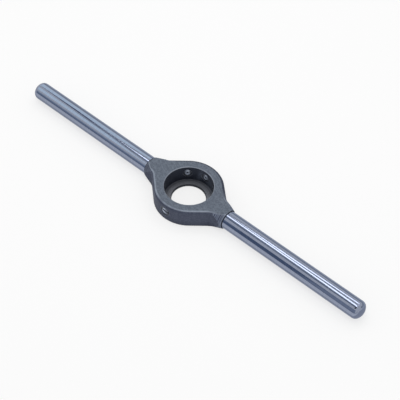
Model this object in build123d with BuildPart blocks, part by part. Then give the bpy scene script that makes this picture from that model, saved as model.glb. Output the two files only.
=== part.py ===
from build123d import *
import os
from math import cos, isclose, radians, sin, sqrt, tan

# A stock for round dies: a ring with two flared arms holds the die,
# a plain rod handle is screwed into the end of each arm,
# and four slotted grub screws in the ring grip the die.
# The origin is on the axis of the die seat, in the bottom face. The arms lie along X.

# Die seat
die_diameter = 25.0
die_thickness = 9.0
seat_clearance = 0.05
lip_height = 1.5
lip_hole_diameter = 17.6
lip_chamfer = 0.2
mouth_chamfer = 0.35

# Ring and arms
ring_diameter = 35.6
body_length = 52.4
arm_width = 11.4
arm_root_radius = 5.0
flank_angle = 42.0
top_rounding = 1.5
bottom_rounding = 0.8
boss_diameter = 10.8
boss_chamfer = 0.25
cone_length = 5.0
cone_angle = 20.0
flare_radius = 6.0

# Handles
overall_length = 220.0
handle_diameter = 9.6
crown_radius = 6.0
shoulder_radius = 3.0
handle_chamfer = 0.25
spigot_diameter = 6.0
spigot_length = 10.0
spigot_chamfer = 0.6
spigot_clearance = 0.05
spigot_hole_spare = 1.0

# Grub screws
screw_diameter = 5.0
screw_clearance = 0.05
screw_tip_diameter = 2.5
screw_cup_diameter = 2.0
screw_cup_depth = 0.5
screw_head_chamfer = 0.4
screw_slot_width = 0.8
screw_slot_depth = 1.4
countersink_diameter = 5.6
countersink_angle = 90.0
screw_head_depth = 0.25
screw_slot_run_out = 1.0
drill_run_out = 1.0

# Worked out from the sizes above
seat_radius = die_diameter / 2 + seat_clearance
lip_hole_radius = lip_hole_diameter / 2
ring_radius = ring_diameter / 2
body_height = lip_height + die_thickness
axis_height = body_height / 2
body_end = body_length / 2
arm_half_width = arm_width / 2
boss_radius = boss_diameter / 2
handle_radius = handle_diameter / 2
handle_length = overall_length / 2 - body_end
spigot_radius = spigot_diameter / 2
tapped_radius = screw_diameter / 2
screw_radius = tapped_radius - screw_clearance
screw_height = lip_height + die_thickness / 2
screw_length = ring_radius - seat_radius - screw_head_depth
rod_axis = Axis((0, 0, axis_height), (1, 0, 0))

# Name, place round the ring and turn of the slot of each grub screw
grub_screws = (
    ("spreading_screw", 90, 20),
    ("clamping_screw_right", 45, 65),
    ("clamping_screw_left", 135, -35),
    ("locking_screw", 270, -5),
)

os.makedirs("parts", exist_ok=True)


def radial_plane(angle, radius):
    """A plane square to the radius at this angle and distance from the seat's axis, facing outwards."""
    outwards = Vector(cos(radians(angle)), sin(radians(angle)), 0)
    along_wall = Vector(-sin(radians(angle)), cos(radians(angle)), 0)
    return Plane(origin=outwards * radius + Vector(0, 0, screw_height), x_dir=along_wall, z_dir=outwards)


def arm_end_plane(side):
    """A plane in the end face of the arm on this side, facing outwards, on the handle's axis."""
    return Plane(origin=(side * body_end, 0, axis_height), x_dir=(0, side, 0), z_dir=(side, 0, 0))


def rod_profile_plane(side):
    """The upright plane through the handle's axis, with its origin in the arm's end face and x outwards."""
    return Plane(origin=(side * body_end, 0, axis_height), x_dir=(side, 0, 0), z_dir=(0, -side, 0))


def circles_of_radius(part, radius):
    """The part's circular edges of this radius, lowest first."""
    circles = part.edges().filter_by(GeomType.CIRCLE)
    return circles.filter_by(lambda edge: isclose(edge.radius, radius, abs_tol=1e-4)).sort_by(Axis.Z)


# Ring with both arms, one casting: the flanks of the arms leave the ring on a tangent
leave_angle = 90 - flank_angle
leave_point = (ring_radius * cos(radians(leave_angle)), ring_radius * sin(radians(leave_angle)))
arm_corner = (ring_radius - arm_half_width * sin(radians(leave_angle))) / cos(radians(leave_angle))
envelope_radius = ring_radius + body_height
cone_start = body_end - boss_chamfer
cone_end = cone_start - cone_length
cone_end_radius = boss_radius + cone_length * tan(radians(cone_angle))
flare_centre = (
    cone_end + flare_radius * sin(radians(cone_angle)),
    cone_end_radius + flare_radius * cos(radians(cone_angle)),
)
flare_edge = flare_centre[0] - flare_radius
blank_end = body_end + top_rounding
with BuildPart() as stock_body:
    with BuildSketch(Plane.XY):
        with BuildLine():
            Line((0, 0), (0, ring_radius))
            CenterArc((0, 0), ring_radius, leave_angle, flank_angle)
            FilletPolyline(
                leave_point,
                (arm_corner, arm_half_width),
                (blank_end, arm_half_width),
                radius=arm_root_radius,
            )
            Line((blank_end, arm_half_width), (blank_end, 0))
            Line((blank_end, 0), (0, 0))
        make_face()
        mirror(about=Plane.YZ)
        mirror(about=Plane.XZ)
    extrude(amount=body_height)
    fillet(stock_body.faces().sort_by(Axis.Z)[-1].edges(), top_rounding)
    fillet(stock_body.faces().sort_by(Axis.Z)[0].edges(), bottom_rounding)

    # Each arm is turned to a flare and a cone that narrows to a round boss at its end
    with BuildSketch(Plane(origin=(0, 0, axis_height), x_dir=(1, 0, 0), z_dir=(0, -1, 0))):
        with BuildLine():
            Line((0, 0), (body_end, 0))
            Line((body_end, 0), (body_end, boss_radius - boss_chamfer))
            Line((body_end, boss_radius - boss_chamfer), (cone_start, boss_radius))
            Line((cone_start, boss_radius), (cone_end, cone_end_radius))
            CenterArc(flare_centre, flare_radius, 180, 90 - cone_angle)
            Line((flare_edge, flare_centre[1]), (flare_edge, envelope_radius))
            Line((flare_edge, envelope_radius), (0, envelope_radius))
            Line((0, envelope_radius), (0, 0))
        make_face()
        mirror(about=Plane.YZ)
    revolve(axis=rod_axis, mode=Mode.INTERSECT)

    # Seat for the die, with the lip that it lies on and the hole for the work below it
    with Locations((0, 0, body_height)):
        CounterBoreHole(lip_hole_radius, seat_radius, die_thickness)
    chamfer(circles_of_radius(stock_body, seat_radius)[-1], mouth_chamfer)
    chamfer(circles_of_radius(stock_body, lip_hole_radius), lip_chamfer)

    # Tapped holes for the grub screws, and for the spigots of the handles
    with Locations([radial_plane(angle, ring_radius).location for name, angle, slot_turn in grub_screws]):
        CounterSinkHole(
            tapped_radius,
            countersink_diameter / 2,
            depth=ring_radius - seat_radius + drill_run_out,
            counter_sink_angle=countersink_angle,
        )
    with Locations([arm_end_plane(side).location for side in (1, -1)]):
        Hole(spigot_radius + spigot_clearance, depth=spigot_length + spigot_hole_spare)
stock_body.part.label = "stock_body"
export_step(stock_body.part, "parts/stock_body.step")

# Rod handle with a domed end and a threaded spigot, turned in one piece
for side, name in ((1, "handle_right"), (-1, "handle_left")):
    with BuildPart() as handle:
        with BuildSketch(rod_profile_plane(side)) as rod_profile:
            crown_edge = handle_length - crown_radius + sqrt(crown_radius**2 - handle_radius**2)
            with BuildLine():
                Polyline(
                    (handle_length, 0),
                    (-spigot_length, 0),
                    (-spigot_length, spigot_radius - spigot_chamfer),
                    (spigot_chamfer - spigot_length, spigot_radius),
                    (0, spigot_radius),
                    (0, handle_radius - handle_chamfer),
                    (handle_chamfer, handle_radius),
                    (crown_edge, handle_radius),
                )
                RadiusArc((crown_edge, handle_radius), (handle_length, 0), crown_radius)
            make_face()
            dome_corner = rod_profile.vertices().sort_by_distance((crown_edge, handle_radius))[0]
            fillet(dome_corner, shoulder_radius)
        revolve(axis=rod_axis)
    handle.part.label = name
    export_step(handle.part, f"parts/{name}.step")

# Slotted grub screws with a cup point, as long as the wall is thick but for the depth of the sunk head,
# and set back until the tip is flush with the wall of the seat
for name, angle, slot_turn in grub_screws:
    tip_plane = radial_plane(angle, seat_radius)
    head_plane = radial_plane(angle, seat_radius + screw_length)
    with BuildPart() as screw:
        with BuildSketch(tip_plane):
            Circle(screw_radius)
        extrude(amount=screw_length)
        tip_edge, head_edge = circles_of_radius(screw, screw_radius).sort_by_distance((0, 0, screw_height))
        chamfer(tip_edge, screw_radius - screw_tip_diameter / 2)
        chamfer(head_edge, screw_head_chamfer)
        with Locations(tip_plane.offset(screw_cup_depth / 2).location):
            Cone(screw_cup_diameter / 2, 0, screw_cup_depth, mode=Mode.SUBTRACT)
        with BuildSketch(head_plane):
            Rectangle(screw_diameter + screw_slot_run_out, screw_slot_width, rotation=slot_turn)
        extrude(amount=-screw_slot_depth, mode=Mode.SUBTRACT)
    screw.part.label = name
    export_step(screw.part, f"parts/{name}.step")
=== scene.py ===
from math import asin, cos, pi, radians, sin, tan

import bmesh
import bpy
from mathutils import Matrix, Vector


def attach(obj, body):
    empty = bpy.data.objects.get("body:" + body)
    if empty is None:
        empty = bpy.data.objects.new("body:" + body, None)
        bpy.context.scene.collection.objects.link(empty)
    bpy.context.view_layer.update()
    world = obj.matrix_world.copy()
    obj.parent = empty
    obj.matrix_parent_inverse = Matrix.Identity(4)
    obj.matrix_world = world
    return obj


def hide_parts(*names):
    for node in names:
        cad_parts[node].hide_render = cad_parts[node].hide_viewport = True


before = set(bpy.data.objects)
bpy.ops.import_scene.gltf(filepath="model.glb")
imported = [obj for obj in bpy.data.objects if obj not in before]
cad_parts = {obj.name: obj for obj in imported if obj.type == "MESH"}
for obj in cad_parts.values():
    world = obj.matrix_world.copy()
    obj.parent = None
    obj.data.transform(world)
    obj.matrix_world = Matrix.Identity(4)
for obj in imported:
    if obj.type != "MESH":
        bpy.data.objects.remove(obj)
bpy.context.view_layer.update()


# Casting: the ring and its two arms are one piece of grey cast iron. The top face is ground,
# the die seat, its lip and the flared arm ends are turned, and the outer walls are left as cast
# under a dark grey satin finish.

# Sizes in millimetres, from the seat's axis and from the bottom face, and the screws' places in degrees
millimetre = 0.001
seat_wall = 12.55
lip_hole = 8.8
mouth_edge = 12.9
lip_top = 1.5
top_face = 10.5
rod_height = 5.25
cone_start = 25.95
cone_length = 5.0
cone_angle = radians(20)
boss_radius = 5.4
flare_radius = 6.0
screw_height = 6.0
screw_angles = (90, 45, 135, 270)
countersink_radius = 2.8


def add_node(tree, kind, values=None, **settings):
    """Adds a shader node with its settings, and sets or links its inputs."""
    node = tree.nodes.new("ShaderNode" + kind)
    for setting, value in settings.items():
        setattr(node, setting, value)
    for socket, value in (values or {}).items():
        if isinstance(value, bpy.types.NodeSocket):
            tree.links.new(value, node.inputs[socket])
        else:
            node.inputs[socket].default_value = value
    return node


def calculate(tree, operation, first, second=0.0):
    """One step of arithmetic on masks and distances."""
    return add_node(tree, "Math", {0: first, 1: second}, operation=operation).outputs[0]


def ramp(tree, value, start, end, low=0.0, high=1.0):
    """A soft step from low to high while the value goes from start to end."""
    limits = {"Value": value, "From Min": start, "From Max": end, "To Min": low, "To Max": high}
    return add_node(tree, "MapRange", limits, interpolation_type="SMOOTHSTEP").outputs["Result"]


def blend_colour(tree, mask, under, over):
    """The colour over laid on the colour under where the mask is 1."""
    mix = add_node(tree, "Mix", data_type="RGBA")
    for socket, value in (("Factor_Float", mask), ("A_Color", under), ("B_Color", over)):
        target = next(s for s in mix.inputs if s.identifier == socket)
        if isinstance(value, bpy.types.NodeSocket):
            tree.links.new(value, target)
        else:
            target.default_value = value
    return next(s for s in mix.outputs if s.identifier == "Result_Color")


def blend_value(tree, mask, under, over):
    """The number over in place of the number under where the mask is 1."""
    return add_node(tree, "Mix", {"Factor": mask, "A": under, "B": over}, data_type="FLOAT").outputs["Result"]


def overlap(tree, first, second):
    """The mask of what two masks have in common."""
    return calculate(tree, "MULTIPLY", first, second)


def scaled(tree, value, share):
    """The mask or height at this share of its strength."""
    return calculate(tree, "MULTIPLY", value, share)


def layer_colours(tree, colour, *layers):
    """Each layer, a mask and its colour, laid over what is below it, in this order."""
    for mask, over in layers:
        colour = blend_colour(tree, mask, colour, over)
    return colour


def new_material(name):
    """A new material, its node tree and its surface shader."""
    material = bpy.data.materials.new(name)
    material.use_nodes = True
    return material, material.node_tree, material.node_tree.nodes["Principled BSDF"]


def raise_marks(tree, shader, relief):
    """Gives the surface marks of this height in millimetres."""
    bump = add_node(tree, "Bump", {"Strength": 1.0, "Distance": millimetre, "Height": relief})
    tree.links.new(bump.outputs["Normal"], shader.inputs["Normal"])


def new_group(name, inputs, outputs):
    """An empty node group with these input and output sockets."""
    group = bpy.data.node_groups.new(name, "ShaderNodeTree")
    for direction, sockets in (("INPUT", inputs), ("OUTPUT", outputs)):
        for socket, kind in sockets.items():
            group.interface.new_socket(socket, in_out=direction, socket_type="NodeSocket" + kind)
    return group, group.nodes.new("NodeGroupInput").outputs, group.nodes.new("NodeGroupOutput").inputs


def use_group(tree, group, **values):
    """A copy of a node group in a material, with its own values."""
    node = add_node(tree, "Group", node_tree=group)
    for socket, value in values.items():
        target = node.inputs[socket.replace("_", " ").capitalize()]
        if isinstance(value, bpy.types.NodeSocket):
            tree.links.new(value, target)
        else:
            target.default_value = value
    return node.outputs


# Grain of a worked metal surface: soft stains, a fine grain and sparse hair scratches
scratch_shape = (0.16, 1.8, 1.8)
metal_grain, grain_in, grain_out = new_group(
    "metal_grain",
    {"Place": "Vector", "Stain size": "Float", "Grain size": "Float", "Scratch turn": "Float"},
    {"Stain": "Float", "Grain": "Float", "Scratch": "Float"},
)
for effect, size, detail in (("Stain", "Stain size", 3.0), ("Grain", "Grain size", 2.0)):
    fineness = calculate(metal_grain, "DIVIDE", 1.0, grain_in[size])
    noise = add_node(
        metal_grain,
        "TexNoise",
        {"Vector": grain_in["Place"], "Scale": fineness, "Detail": detail},
    )
    metal_grain.links.new(noise.outputs["Fac"], grain_out[effect])
turned_place = add_node(
    metal_grain,
    "VectorRotate",
    {"Vector": grain_in["Place"], "Angle": grain_in["Scratch turn"]},
    rotation_type="Z_AXIS",
)
drawn_place = add_node(metal_grain, "Mapping", {"Vector": turned_place.outputs[0], "Scale": scratch_shape})
hairs = add_node(metal_grain, "TexNoise", {"Vector": drawn_place.outputs[0], "Scale": 1.0, "Detail": 2.0})
hair_mask = ramp(metal_grain, hairs.outputs["Fac"], 0.5, 0.7)
metal_grain.links.new(hair_mask, grain_out["Scratch"])

# Marks of the turning tool: uneven fine rings along the direction in which the tool was fed
band_coarseness = 0.12
tool_marks, marks_in, marks_out = new_group(
    "tool_marks",
    {"Along": "Float", "Feed": "Float"},
    {"Ring": "Float", "Band": "Float"},
)
ring_count = calculate(tool_marks, "DIVIDE", marks_in["Along"], marks_in["Feed"])
for effect, coarseness in (("Ring", 1.0), ("Band", band_coarseness)):
    noise = add_node(
        tool_marks,
        "TexNoise",
        {"W": calculate(tool_marks, "MULTIPLY", ring_count, coarseness), "Scale": 1.0, "Detail": 1.0},
        noise_dimensions="1D",
    )
    tool_marks.links.new(noise.outputs["Fac"], marks_out[effect])

# Painted edge highlights: a mask of the edge, broken up in patches so that the painted highlight is uneven
broken_highlight, highlight_in, highlight_out = new_group(
    "broken_highlight",
    {"Edge": "Float", "Place": "Vector", "Patch size": "Float"},
    {"Highlight": "Float"},
)
patch_scale = calculate(broken_highlight, "DIVIDE", 1.0, highlight_in["Patch size"])
patches = add_node(broken_highlight, "TexNoise", {"Vector": highlight_in["Place"], "Scale": patch_scale, "Detail": 4.0})
patch_mask = ramp(broken_highlight, patches.outputs["Fac"], 0.35, 0.65, 0.4, 1.0)
broken_highlight.links.new(overlap(broken_highlight, highlight_in["Edge"], patch_mask), highlight_out["Highlight"])

casting_paint, tree, shader = new_material("cast_iron_casting")
object_place = add_node(tree, "TexCoord").outputs["Object"]
place = add_node(tree, "VectorMath", {0: object_place, "Scale": 1 / millimetre}, operation="SCALE").outputs[0]
axes = add_node(tree, "SeparateXYZ", {0: place}).outputs
level_place = add_node(tree, "CombineXYZ", {"X": axes["X"], "Y": axes["Y"]}).outputs[0]
seat_distance = add_node(tree, "VectorMath", {0: level_place}, operation="LENGTH").outputs["Value"]
across_rod = calculate(tree, "SUBTRACT", axes["Z"], rod_height)
cross_place = add_node(tree, "CombineXYZ", {"X": axes["Y"], "Y": across_rod}).outputs[0]
rod_distance = add_node(tree, "VectorMath", {0: cross_place}, operation="LENGTH").outputs["Value"]

# Which worked surface a point lies on
in_seat = ramp(tree, seat_distance, mouth_edge + 0.1, mouth_edge + 0.02)
on_mouth = overlap(tree, in_seat, ramp(tree, seat_distance, seat_wall + 0.01, seat_wall + 0.06))
on_lip = overlap(tree, in_seat, ramp(tree, axes["Z"], lip_top + 0.06, lip_top + 0.01))
on_top = ramp(tree, axes["Z"], top_face - 0.015, top_face - 0.004)
on_edge = ramp(tree, axes["Z"], top_face - 0.4, top_face - 0.2)
on_near_edge = overlap(tree, on_edge, ramp(tree, axes["Y"], 10.0, 3.0))
# Painted shade on the top edge of the far side
near_top = ramp(tree, axes["Z"], top_face - 1.7, top_face - 0.9)
on_far_edge = overlap(tree, near_top, ramp(tree, axes["Y"], 3.0, 9.0))
# Painted shade: darker towards the bottom, and darkest at the foot, next to the floor
at_foot = ramp(tree, axes["Z"], 0.75, 0.3)
low_down = ramp(tree, axes["Z"], 5.0, 0.5)

# The turned arm ends: how far a point lies from the arc and the cone that were turned about the handle's axis
along_arm = calculate(tree, "ABSOLUTE", axes["X"])
cone_end = cone_start - cone_length
arc_centre = cone_end + flare_radius * sin(cone_angle)
arc_height = boss_radius + cone_length * tan(cone_angle) + flare_radius * cos(cone_angle)
from_centre = calculate(tree, "SUBTRACT", arc_centre, along_arm)
from_centre = calculate(tree, "MAXIMUM", from_centre, arc_centre - cone_end)
centre_square = calculate(tree, "MULTIPLY", from_centre, from_centre)
arc_square = calculate(tree, "SUBTRACT", flare_radius**2, centre_square)
arc_surface = calculate(tree, "SUBTRACT", arc_height, calculate(tree, "SQRT", arc_square))
along_cone = calculate(tree, "MAXIMUM", calculate(tree, "SUBTRACT", along_arm, cone_end), 0.0)
cone_drop = scaled(tree, along_cone, tan(cone_angle))
turned_surface = calculate(tree, "SUBTRACT", arc_surface, cone_drop)
off_turned = calculate(tree, "ABSOLUTE", calculate(tree, "SUBTRACT", rod_distance, turned_surface))
past_ring = ramp(tree, along_arm, cone_end - 1.2, cone_end - 1.0)
on_flare = overlap(tree, past_ring, ramp(tree, off_turned, 0.12, 0.04))

# Painted shade in the joint beside each handle, which is wider on the left
joint_reach = ramp(tree, axes["X"], -1.0, 1.0, cone_start - 0.15, cone_start + 0.15)
in_joint = ramp(tree, calculate(tree, "SUBTRACT", along_arm, joint_reach), 0.0, 0.07)

# Distance from the nearest grub screw's axis, and the machined countersink round it
far_off = 100.0
from_screws = far_off
for angle in screw_angles:
    outward = (cos(radians(angle)), sin(radians(angle)), 0)
    from_seat = add_node(tree, "VectorMath", {0: level_place, 1: outward}, operation="DOT_PRODUCT")
    from_seat = from_seat.outputs["Value"]
    nearest = add_node(tree, "VectorMath", {0: outward, "Scale": from_seat}, operation="SCALE").outputs[0]
    from_nearest = add_node(tree, "VectorMath", {0: level_place, 1: nearest}, operation="DISTANCE")
    above_axis = calculate(tree, "SUBTRACT", axes["Z"], screw_height)
    other_side = ramp(tree, from_seat, 1.0, 0.0, 0.0, far_off)
    off_axis = {"X": from_nearest.outputs["Value"], "Y": above_axis, "Z": other_side}
    round_axis = add_node(tree, "CombineXYZ", off_axis)
    from_axis = add_node(tree, "VectorMath", {0: round_axis.outputs[0]}, operation="LENGTH").outputs["Value"]
    from_screws = calculate(tree, "MINIMUM", from_screws, from_axis)
# Painted shade fills the countersink cone, and a painted highlight lies on its rim
in_countersink = ramp(tree, from_screws, countersink_radius + 0.08, countersink_radius + 0.02)
on_screw_rim = ramp(tree, from_screws, countersink_radius + 0.22, countersink_radius + 0.14)

grain = use_group(tree, metal_grain, place=place, stain_size=9.0, grain_size=0.9, scratch_turn=radians(25))
ring_feed = use_group(tree, tool_marks, along=seat_distance, feed=0.3)
wall_feed = use_group(tree, tool_marks, along=axes["Z"], feed=0.3)
arm_feed = use_group(tree, tool_marks, along=along_arm, feed=0.5)
# Painted highlight along the near top edge, where the rounding catches the light
edge_highlight = use_group(tree, broken_highlight, edge=on_near_edge, place=place, patch_size=9.0)["Highlight"]
rim_highlight = use_group(tree, broken_highlight, edge=on_screw_rim, place=place, patch_size=4.0)["Highlight"]

# Colours: as cast, ground, turned arm ends, seat and lip, with painted highlights on edges and painted shade
# in joints, recesses and corners and towards the bottom
gap_shade = (0.05, 0.056, 0.075, 1)
stained = ramp(tree, grain["Stain"], 0.3, 0.7)
speckled = ramp(tree, grain["Grain"], 0.35, 0.65)
as_cast = layer_colours(
    tree,
    (0.074, 0.085, 0.126, 1),
    (stained, (0.099, 0.113, 0.16, 1)),
    (scaled(tree, speckled, 0.5), (0.048, 0.056, 0.092, 1)),
    (scaled(tree, grain["Scratch"], 0.08), (0.16, 0.18, 0.235, 1)),
    (scaled(tree, low_down, 0.5), (0.04, 0.046, 0.07, 1)),
    (scaled(tree, at_foot, 0.85), (0.014, 0.016, 0.024, 1)),
)
ground = layer_colours(
    tree,
    (0.142, 0.166, 0.206, 1),
    (stained, (0.165, 0.19, 0.232, 1)),
    (scaled(tree, speckled, 0.6), (0.085, 0.1, 0.132, 1)),
    (scaled(tree, grain["Scratch"], 0.25), (0.27, 0.3, 0.355, 1)),
)
# Painted shade darkens the turned end of the left arm, and the lower part of both arms
left_arm_shade = ramp(tree, axes["X"], 1.0, -1.0, 0.0, 0.45)
turned_arm = layer_colours(
    tree,
    (0.066, 0.079, 0.123, 1),
    (ramp(tree, arm_feed["Ring"], 0.35, 0.65), (0.225, 0.255, 0.33, 1)),
    (left_arm_shade, (0.045, 0.053, 0.08, 1)),
    (scaled(tree, low_down, 0.65), (0.035, 0.041, 0.062, 1)),
)
# The seat bore is dark partly in its own finish and partly from painted shade of the deep seat
seat_bore = layer_colours(
    tree,
    (0.02, 0.025, 0.04, 1),
    (ramp(tree, wall_feed["Ring"], 0.3, 0.7), (0.036, 0.043, 0.064, 1)),
    (ramp(tree, grain["Stain"], 0.52, 0.7), (0.085, 0.1, 0.135, 1)),
)
# Painted shade darkens the lip towards its corner with the wall and at the edge of the hole
lip_corner = ramp(tree, seat_distance, seat_wall - 2.2, seat_wall - 0.3)
lip_marks = ramp(tree, ring_feed["Ring"], 0.35, 0.65)
lip_ring = layer_colours(
    tree,
    (0.27, 0.28, 0.31, 1),
    (lip_corner, (0.17, 0.18, 0.21, 1)),
    (scaled(tree, lip_marks, 0.5), (0.055, 0.057, 0.068, 1)),
    (ramp(tree, seat_distance, lip_hole + 0.28, lip_hole + 0.2), (0.03, 0.032, 0.04, 1)),
)
colour = layer_colours(
    tree,
    as_cast,
    (scaled(tree, on_far_edge, 0.55), (0.045, 0.052, 0.078, 1)),
    (on_flare, turned_arm),
    (edge_highlight, (0.3, 0.337, 0.4, 1)),
    (on_top, ground),
    (in_joint, gap_shade),
    (rim_highlight, (0.26, 0.3, 0.37, 1)),
    (in_countersink, gap_shade),
    (in_seat, seat_bore),
    (on_lip, lip_ring),
    (on_mouth, (0.3, 0.33, 0.39, 1)),
)
tree.links.new(colour, shader.inputs["Base Color"])

roughness = blend_value(tree, grain["Stain"], 0.56, 0.68)
roughness = blend_value(tree, on_flare, roughness, 0.42)
roughness = blend_value(tree, on_top, roughness, blend_value(tree, grain["Stain"], 0.5, 0.6))
roughness = blend_value(tree, in_seat, roughness, 0.42)
tree.links.new(roughness, shader.inputs["Roughness"])
shader.inputs["Metallic"].default_value = 0.6

# Depth of the marks in millimetres: coarse sand grain on the cast walls, finer marks where it is worked
relief = scaled(tree, grain["Grain"], 0.13)
relief = blend_value(tree, on_flare, relief, scaled(tree, arm_feed["Ring"], 0.03))
ground_grain = scaled(tree, grain["Grain"], 0.04)
ground_relief = calculate(tree, "ADD", ground_grain, scaled(tree, grain["Scratch"], -0.008))
relief = blend_value(tree, on_top, relief, ground_relief)
relief = blend_value(tree, in_seat, relief, scaled(tree, wall_feed["Ring"], 0.02))
relief = blend_value(tree, on_lip, relief, scaled(tree, ring_feed["Ring"], 0.03))
raise_marks(tree, shader, relief)

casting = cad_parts["stock_body"]
casting.data.materials.clear()
casting.data.materials.append(casting_paint)


# Tapped holes: the four grub screws and the two handles run in threads that are cut into the casting.
# Each thread is a ring of ridges on the wall of its hole, and its distances are from the seat's axis.

screw_hole_thread = {"crest": 2.5, "root": 2.1, "pitch": 0.8, "crest_flat": 0.13, "root_flat": 0.22}
screw_hole_ends = (12.6, 17.45)
handle_hole_thread = {"crest": 3.05, "root": 2.5, "pitch": 1.0, "crest_flat": 0.17, "root_flat": 0.27}
handle_hole_ends = (15.4, 26.0)
bite_in_wall = 0.05
tap_run_out = 1
smooth_angle = radians(28)

def turned_blank(corners, turns=96):
    """A solid turned about Z from its half outline, corners of (radius, distance) from end to end."""
    blank = bmesh.new()
    outline = [blank.verts.new((radius, 0, distance)) for radius, distance in corners]
    for corner, following in zip(outline, outline[1:]):
        blank.edges.new((corner, following))
    spin_round(blank, turns)
    return blank


def spin_round(blank, turns):
    """Turns the outline that is in the mesh into a closed solid about Z."""
    outline = blank.verts[:] + blank.edges[:]
    bmesh.ops.spin(
        blank,
        geom=outline,
        cent=(0, 0, 0),
        axis=(0, 0, 1),
        angle=2 * pi,
        steps=turns,
        use_merge=True,
    )
    bmesh.ops.remove_doubles(blank, verts=blank.verts, dist=1e-4)
    bmesh.ops.recalc_face_normals(blank, faces=blank.faces)


def threaded_blank(crest, root, pitch, crest_flat, root_flat, start, end):
    """A right-handed threaded rod about Z, cut square at both ends."""
    blank = bmesh.new()
    flank = (pitch - crest_flat - root_flat) / 2
    rise_end = root_flat + flank
    tooth = ((root, 0), (root, root_flat), (crest, rise_end), (crest, rise_end + crest_flat))
    first = int(start / pitch) - 2
    last = int(end / pitch) + 2
    outline = [
        blank.verts.new((radius, 0, turn * pitch + step))
        for turn in range(first, last)
        for radius, step in tooth
    ]
    for corner, following in zip(outline, outline[1:]):
        blank.edges.new((corner, following))
    sectors = 48
    bmesh.ops.spin(
        blank,
        geom=blank.verts[:] + blank.edges[:],
        cent=(0, 0, 0),
        axis=(0, 0, 1),
        dvec=(0, 0, pitch / sectors),
        angle=2 * pi,
        steps=sectors,
    )
    bmesh.ops.remove_doubles(blank, verts=blank.verts, dist=1e-3)
    for distance, kept_side in ((start, 1), (end, -1)):
        bmesh.ops.bisect_plane(
            blank,
            geom=blank.verts[:] + blank.edges[:] + blank.faces[:],
            dist=1e-4,
            plane_co=(0, 0, distance),
            plane_no=(0, 0, kept_side),
            clear_inner=True,
        )
    open_edges = [edge for edge in blank.edges if edge.is_boundary]
    bmesh.ops.holes_fill(blank, edges=open_edges, sides=0)
    bmesh.ops.recalc_face_normals(blank, faces=blank.faces)
    return blank


def as_object(name, blank):
    """The mesh as an object in the scene."""
    mesh = bpy.data.meshes.new(name)
    blank.to_mesh(mesh)
    blank.free()
    piece = bpy.data.objects.new(name, mesh)
    bpy.context.scene.collection.objects.link(piece)
    return piece


def work(piece, tool, operation):
    """Cuts the piece with the tool's shape, or joins or keeps what they share, and takes the tool away."""
    step = piece.modifiers.new("work", "BOOLEAN")
    step.solver = "EXACT"
    step.operation = operation
    step.object = tool
    evaluated = piece.evaluated_get(bpy.context.evaluated_depsgraph_get())
    worked = bpy.data.meshes.new_from_object(evaluated)
    piece.modifiers.clear()
    piece.data = worked
    bpy.data.objects.remove(tool)


def fit(piece, angle, height, material, body):
    """Keeps the piece's own coordinates for its marks, and sets it in the stock at this angle and height."""
    mesh = piece.data
    own_place = mesh.attributes.new("own_place", "FLOAT_VECTOR", "POINT")
    own_place.data.foreach_set("vector", [step for vertex in mesh.vertices for step in vertex.co])
    radial = Matrix.Rotation(angle + pi / 2, 4, "Z") @ Matrix.Rotation(pi / 2, 4, "X")
    mesh.transform(Matrix.Scale(millimetre, 4) @ Matrix.Translation((0, 0, height)) @ radial)
    mesh.shade_smooth()
    mesh.set_sharp_from_angle(angle=smooth_angle)
    mesh.materials.clear()
    mesh.materials.append(material)
    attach(piece, body)


tapped_paint, tree, shader = new_material("cut_thread")
place = add_node(tree, "Attribute", attribute_name="own_place").outputs["Vector"]
grain = use_group(tree, metal_grain, place=place, stain_size=1.5, grain_size=0.12, scratch_turn=0.0)
colour = blend_colour(tree, grain["Stain"], (0.06, 0.065, 0.08, 1), (0.2, 0.21, 0.235, 1))
tree.links.new(colour, shader.inputs["Base Color"])
tree.links.new(blend_value(tree, grain["Grain"], 0.3, 0.5), shader.inputs["Roughness"])
shader.inputs["Metallic"].default_value = 0.9
raise_marks(tree, shader, scaled(tree, grain["Grain"], 0.02))

for name, angle, height, thread, hole_ends in (
    ("spreading_hole_thread", 90, screw_height, screw_hole_thread, screw_hole_ends),
    ("clamping_hole_thread_right", 45, screw_height, screw_hole_thread, screw_hole_ends),
    ("clamping_hole_thread_left", 135, screw_height, screw_hole_thread, screw_hole_ends),
    ("locking_hole_thread", 270, screw_height, screw_hole_thread, screw_hole_ends),
    ("handle_hole_thread_right", 0, rod_height, handle_hole_thread, handle_hole_ends),
    ("handle_hole_thread_left", 180, rod_height, handle_hole_thread, handle_hole_ends),
):
    wall = thread["crest"] + bite_in_wall
    start, end = hole_ends
    ridges = as_object(name, turned_blank(((0, start), (wall, start), (wall, end), (0, end)), 64))
    tap = threaded_blank(**thread, start=start - tap_run_out, end=end + tap_run_out)
    work(ridges, as_object("tap", tap), "DIFFERENCE")
    fit(ridges, radians(angle), height, tapped_paint, "stock")


# Handles: each is a rod of bright steel, turned and polished in one piece with the threaded spigot
# that is screwed into the arm, and its free end is domed. Distances are from the seat's axis.

shoulder_face = 26.2
handle_end = 110.0
handle_radius = 4.8
handle_chamfer = 0.25
crown_radius = 6.0
shoulder_radius = 3.0
spigot_radius = 3.0
spigot_end = 16.2
spigot_chamfer = 0.6
spigot_thread = {"crest": spigot_radius, "root": 2.39, "pitch": 1.0, "crest_flat": 0.12, "root_flat": 0.25}
spigot_trim = 0.02
spigot_over_cut = 0.5
spigot_in_rod = 1
trim_in_rod = 0.8

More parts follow.
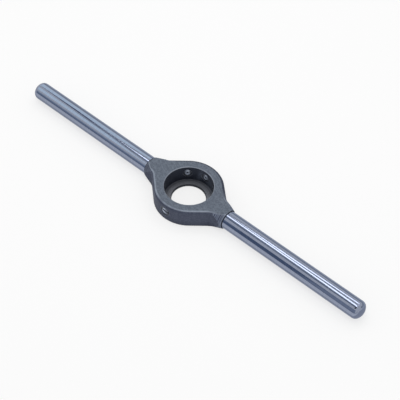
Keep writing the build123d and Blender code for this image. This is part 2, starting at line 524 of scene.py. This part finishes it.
rod_polish, tree, shader = new_material("polished_steel_rod")
place = add_node(tree, "Attribute", attribute_name="own_place").outputs["Vector"]
axes = add_node(tree, "SeparateXYZ", {0: place}).outputs
along_rod = axes["Z"]
grain = use_group(tree, metal_grain, place=place, stain_size=14.0, grain_size=0.5, scratch_turn=0.4)
polishing = use_group(tree, tool_marks, along=along_rod, feed=0.12)
polished_rings = scaled(tree, ramp(tree, polishing["Band"], 0.35, 0.65), 0.12)
# Painted shade in the joint: a dark band on the rod's end next to the arm, a little wider on one side
joint_shade_reach = ramp(tree, axes["X"], -1.0, 1.0, shoulder_face + 0.3, shoulder_face + 0.4)
joint_shade = ramp(tree, calculate(tree, "SUBTRACT", along_rod, joint_shade_reach), 0.02, -0.08)
colour = layer_colours(
    tree,
    (0.335, 0.373, 0.478, 1),
    (grain["Stain"], (0.378, 0.42, 0.535, 1)),
    (polished_rings, (0.16, 0.18, 0.24, 1)),
    (joint_shade, (0.045, 0.05, 0.065, 1)),
)
tree.links.new(colour, shader.inputs["Base Color"])
roughness = blend_value(tree, grain["Stain"], 0.04, 0.075)
roughness = blend_value(tree, scaled(tree, grain["Scratch"], 0.5), roughness, 0.3)
tree.links.new(roughness, shader.inputs["Roughness"])
shader.inputs["Metallic"].default_value = 1.0
drawn = add_node(tree, "Mapping", {"Vector": place, "Scale": (0.5, 0.5, 0.02)}).outputs[0]
waviness = add_node(tree, "TexNoise", {"Vector": drawn, "Scale": 1.0, "Detail": 1.0}).outputs["Fac"]
ring_relief = scaled(tree, polishing["Ring"], 0.0015)
raise_marks(tree, shader, calculate(tree, "ADD", scaled(tree, waviness, 0.03), ring_relief))

for name, node, angle in (("right_handle_rod", "handle_right", 0), ("left_handle_rod", "handle_left", 180)):
    rod = bmesh.new()
    crown_turn = asin((handle_radius - shoulder_radius) / (crown_radius - shoulder_radius))
    shoulder_distance = (crown_radius - shoulder_radius) * cos(crown_turn) + handle_end - crown_radius
    pole = rod.verts.new((0, 0, handle_end))
    crown = bmesh.ops.spin(
        rod,
        geom=[pole],
        cent=(0, 0, handle_end - crown_radius),
        axis=(0, 1, 0),
        angle=crown_turn,
        steps=10,
    )
    crown_rim = [vertex for vertex in crown["geom_last"] if isinstance(vertex, bmesh.types.BMVert)]
    shoulder = bmesh.ops.spin(
        rod,
        geom=crown_rim,
        cent=(handle_radius - shoulder_radius, 0, shoulder_distance),
        axis=(0, 1, 0),
        angle=pi / 2 - crown_turn,
        steps=12,
    )
    corner = next(vertex for vertex in shoulder["geom_last"] if isinstance(vertex, bmesh.types.BMVert))
    for radius, distance in (
        (handle_radius, shoulder_face + handle_chamfer),
        (handle_radius - handle_chamfer, shoulder_face),
        (0, shoulder_face),
    ):
        following = rod.verts.new((radius, 0, distance))
        rod.edges.new((corner, following))
        corner = following
    spin_round(rod, 128)
    rod = as_object(name, rod)
    spigot = threaded_blank(**spigot_thread, start=spigot_end, end=shoulder_face + spigot_in_rod)
    spigot = as_object("spigot", spigot)
    cut_end = spigot_end + spigot_trim
    cut_radius = spigot_radius + spigot_over_cut
    chamfered_end = turned_blank((
        (0, cut_end),
        (spigot_radius - spigot_chamfer, cut_end),
        (cut_radius, cut_end + spigot_over_cut + spigot_chamfer),
        (cut_radius, shoulder_face + trim_in_rod),
        (0, shoulder_face + trim_in_rod),
    ))
    work(spigot, as_object("chamfered_end", chamfered_end), "INTERSECT")
    work(rod, spigot, "UNION")
    fit(rod, radians(angle), rod_height, rod_polish, "stock")
    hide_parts(node)


# Grub screws: slotted set screws of bright steel with a cup point, which run in the ring's tapped
# holes. The spreading screw opens a split die, the clamping screws close it, and the locking screw,
# whose slotted end shows in the near wall, holds it. Distances are from the seat's axis.

screw_radius = 2.45
screw_tip = 12.55
screw_head = 17.55
tip_radius = 1.25
cup_radius = 1.0
cup_depth = 0.5
head_chamfer = 0.4
slot_width = 0.8
slot_depth = 1.4
screw_thread = {"crest": screw_radius, "root": 2.0, "pitch": 0.8, "crest_flat": 0.1, "root_flat": 0.2}
screw_run_out = 0.5
over_cut = 0.2

screw_steel, tree, shader = new_material("grub_screw_steel")
place = add_node(tree, "Attribute", attribute_name="own_place").outputs["Vector"]
axes = add_node(tree, "SeparateXYZ", {0: place}).outputs
cross_place = add_node(tree, "CombineXYZ", {"X": axes["X"], "Y": axes["Y"]}).outputs[0]
screw_distance = add_node(tree, "VectorMath", {0: cross_place}, operation="LENGTH").outputs["Value"]
grain = use_group(tree, metal_grain, place=place, stain_size=2.0, grain_size=0.15, scratch_turn=0.0)
facing = use_group(tree, tool_marks, along=screw_distance, feed=0.08)
# Painted shade darkens the slot and the shank below the head, the cup point and the head's chamfer
behind_head = ramp(tree, axes["Z"], screw_head - 0.1, screw_head - 0.3)
past_tip = ramp(tree, axes["Z"], screw_tip + 2.0, screw_tip + 2.5)
in_slot = overlap(tree, behind_head, past_tip)
# Painted highlight brightens the tip of each screw
at_tip = ramp(tree, axes["Z"], screw_tip + 1.2, screw_tip + 0.9)
in_cup = overlap(tree, at_tip, ramp(tree, screw_distance, 0.62, 0.4))
at_head = ramp(tree, axes["Z"], screw_head - 0.7, screw_head - 0.6)
round_head = overlap(tree, at_head, ramp(tree, screw_distance, 1.95, 2.1))
on_face = overlap(tree, at_head, ramp(tree, screw_distance, 2.0, 1.9))
recess_shade = calculate(tree, "MAXIMUM", calculate(tree, "MAXIMUM", in_slot, in_cup), round_head)
# Painted light and shade across the head's face: lighter on one side, darker on the other
face_shade_side = ramp(tree, axes["X"], -1.2, 1.4)
face_colour = blend_colour(tree, face_shade_side, (0.38, 0.42, 0.51, 1), (0.13, 0.147, 0.19, 1))
colour = layer_colours(
    tree,
    (0.2, 0.215, 0.27, 1),
    (ramp(tree, grain["Stain"], 0.35, 0.65), (0.46, 0.485, 0.56, 1)),
    (scaled(tree, facing["Ring"], 0.3), (0.16, 0.175, 0.22, 1)),
    (at_tip, (0.36, 0.4, 0.47, 1)),
    (on_face, face_colour),
    (recess_shade, (0.03, 0.033, 0.045, 1)),
)
tree.links.new(colour, shader.inputs["Base Color"])
tree.links.new(blend_value(tree, grain["Grain"], 0.28, 0.42), shader.inputs["Roughness"])
shader.inputs["Metallic"].default_value = 0.7
raise_marks(tree, shader, scaled(tree, facing["Ring"], 0.01))

for name, node, angle, slot_turn in (
    ("spreading_grub_screw", "spreading_screw", 90, 20),
    ("clamping_grub_screw_right", "clamping_screw_right", 45, 65),
    ("clamping_grub_screw_left", "clamping_screw_left", 135, -35),
    ("locking_grub_screw", "locking_screw", 270, -5),
):
    screw = threaded_blank(**screw_thread, start=screw_tip - screw_run_out, end=screw_head + screw_run_out)
    screw = as_object(name, screw)
    cut_radius = screw_radius + over_cut
    pointed_form = turned_blank((
        (0, screw_tip + cup_depth),
        (cup_radius, screw_tip),
        (tip_radius, screw_tip),
        (cut_radius, screw_tip + cut_radius - tip_radius),
        (cut_radius, screw_head - head_chamfer - over_cut),
        (screw_radius - head_chamfer, screw_head),
        (0, screw_head),
    ))
    work(screw, as_object("pointed_form", pointed_form), "INTERSECT")
    cutter = bmesh.new()
    cutter_size = (8, slot_width, 2 * slot_depth)
    cutter_place = Matrix.Translation((0, 0, screw_head)) @ Matrix.Rotation(radians(slot_turn), 4, "Z")
    bmesh.ops.create_cube(cutter, size=1, matrix=cutter_place @ Matrix.Diagonal((*cutter_size, 1)))
    work(screw, as_object("slot_cutter", cutter), "DIFFERENCE")
    fit(screw, radians(angle), screw_height, screw_steel, node)
    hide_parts(node)


# Stage: a pale floor, a plain even world, two long soft lamps overhead, and the dark, grey and pale
# cards that stand round polished rods when they are lit, which only the reflections show.

white_share = 0.68
world_strength = 0.73
lamp_strength = 7.1

floor_paint, tree, shader = new_material("pale_floor")
shader.inputs["Base Color"].default_value = (0.97, 0.97, 0.97, 1)
shader.inputs["Roughness"].default_value = 0.9
shader.inputs["Specular IOR Level"].default_value = 0.1
light_path = add_node(tree, "LightPath").outputs
seen = calculate(tree, "MAXIMUM", light_path["Is Camera Ray"], light_path["Is Glossy Ray"])
seen = calculate(tree, "MAXIMUM", seen, light_path["Is Transmission Ray"])
white = add_node(tree, "Emission", {"Color": (1, 1, 1, 1), "Strength": 1.0})
mixed = {0: scaled(tree, seen, white_share), 1: shader.outputs[0], 2: white.outputs[0]}
lightened = add_node(tree, "MixShader", mixed)
tree.links.new(lightened.outputs[0], tree.nodes["Material Output"].inputs["Surface"])
floor = bmesh.new()
bmesh.ops.create_grid(floor, x_segments=1, y_segments=1, size=6)
floor = as_object("pale_floor", floor)
floor.data.materials.append(floor_paint)

world = bpy.data.worlds.new("plain_world")
bpy.context.scene.world = world
world.use_nodes = True
world.node_tree.nodes["Background"].inputs["Color"].default_value = (1, 1, 1, 1)
world.node_tree.nodes["Background"].inputs["Strength"].default_value = world_strength

for name, middle, size, turn in (
    ("far_soft_lamp", (-0.057, 0.283, 0.5), (0.33, 0.12), 50),
    ("near_soft_lamp", (-0.035, -0.039, 0.5), (0.6, 0.115), -22),
):
    lamp = bpy.data.lights.new(name, "AREA")
    lamp.shape = "RECTANGLE"
    lamp.size, lamp.size_y = size
    lamp.energy = lamp_strength * size[0] * size[1]
    lamp_object = bpy.data.objects.new(name, lamp)
    lamp_object.location = middle
    lamp_object.rotation_euler.z = radians(turn)
    lamp_object.visible_camera = False
    bpy.context.scene.collection.objects.link(lamp_object)

for name, middle, size, tilt, turn, brightness in (
    ("far_lamp_frame", (-0.075, 0.265, 0.502), (0.5, 0.25), 0, 45, (0.36, 0.38, 0.42, 1)),
    ("near_lamp_frame", (-0.065, -0.098, 0.503), (0.66, 0.36), 0, -19, (0.37, 0.4, 0.44, 1)),
    ("wide_grey_card", (0.05, -0.72, 0.23), (0.9, 0.46), 90, 0, (0.3, 0.34, 0.42, 1)),
    ("narrow_dark_card", (-0.225, -0.7, 0.225), (0.15, 0.45), 90, 0, (0.12, 0.16, 0.24, 1)),
    ("low_dark_card", (-0.6, -0.7, 0.1), (0.5, 0.2), 90, 0, (0.24, 0.29, 0.37, 1)),
    ("low_grey_card", (-0.6, -0.7, 0.27), (0.5, 0.14), 90, 0, (0.42, 0.48, 0.55, 1)),
    ("dark_bench", (0.0, -0.36, 0.0004), (1.6, 0.62), 0, 0, (0.2, 0.23, 0.3, 1)),
    ("lamp_bar", (-0.25, -0.1, 0.498), (0.52, 0.06), 0, -49, (0.3, 0.34, 0.41, 1)),
    ("lamp_bar_end", (-0.412, 0.095, 0.4975), (0.14, 0.085), 0, -55, (0.15, 0.18, 0.25, 1)),
    ("far_pale_card", (-0.64, 0.43, 0.5), (0.6, 0.66), 0, -3, (0.92, 1.04, 1.08, 1)),
    ("near_pale_card", (-0.66, -0.3, 0.5), (0.6, 0.4), 0, -3, (0.92, 1.04, 1.08, 1)),
    ("far_horizon_card", (0.0, 1.1, 0.25), (3.2, 0.5), 90, 0, (0.36, 0.39, 0.44, 1)),
    ("grey_bench", (0.0, 0.36, 0.0004), (1.6, 0.68), 0, 0, (0.55, 0.58, 0.64, 1)),
    ("pale_bench", (0.0, -0.0335, 0.0004), (1.6, 0.049), 0, 0, (0.74, 0.75, 0.77, 1)),
    ("bench_shade", (0.0, 0.0055, 0.0004), (1.6, 0.029), 0, 0, (0.45, 0.47, 0.52, 1)),
    ("dark_corner_card", (0.13, -0.31, 0.4985), (0.18, 0.4), 0, -31.8, (0.012, 0.015, 0.02, 1)),
    ("pale_corner_card", (0.16, 0.2, 0.4985), (0.16, 0.3), 0, 0, (1.1, 1.1, 1.2, 1)),
    ("dark_right_card", (1.3, 0.68, 0.42), (0.25, 0.6), 90, -62.4, (0.15, 0.18, 0.24, 1)),
    ("dark_strip", (-0.1, -0.235, 0.499), (0.3, 0.07), 0, 0, (0.14, 0.17, 0.23, 1)),
):
    card_paint, tree, shader = new_material(name)
    glow = add_node(tree, "Emission", {"Color": brightness, "Strength": 1.0})
    tree.links.new(glow.outputs[0], tree.nodes["Material Output"].inputs["Surface"])
    card = bmesh.new()
    standing = Matrix.Rotation(radians(turn), 4, "Z") @ Matrix.Rotation(radians(tilt), 4, "X")
    card_place = Matrix.Translation(middle) @ standing @ Matrix.Diagonal((*size, 1, 1))
    bmesh.ops.create_grid(card, x_segments=1, y_segments=1, size=0.5, matrix=card_place)
    card = as_object(name, card)
    card.data.materials.append(card_paint)
    card.visible_camera = False
    card.visible_diffuse = False
    card.visible_shadow = False
    card.visible_transmission = False


# Camera: a long lens that looks down on the stock from the front right, as the photograph does.

aim_point = Vector((0.00446297, 0.00367416, -0.00008372))
camera_distance = 0.6321393
camera_heading = radians(40.41571)
camera_elevation = radians(48.944413)
camera_roll = radians(2.0092)
camera_turn = (
    Matrix.Rotation(camera_heading, 4, "Z")
    @ Matrix.Rotation(pi / 2 - camera_elevation, 4, "X")
    @ Matrix.Rotation(camera_roll, 4, "Z")
)
lens = bpy.data.cameras.new("long_lens")
lens.lens = 112.2448
lens.sensor_width = 36
lens.clip_start = 0.01
lens.clip_end = 20
camera = bpy.data.objects.new("long_lens", lens)
step_back = Matrix.Translation((0, 0, camera_distance))
camera.matrix_world = Matrix.Translation(aim_point) @ camera_turn @ step_back
bpy.context.scene.collection.objects.link(camera)
bpy.context.scene.camera = camera
bpy.context.scene.view_settings.view_transform = "Standard"
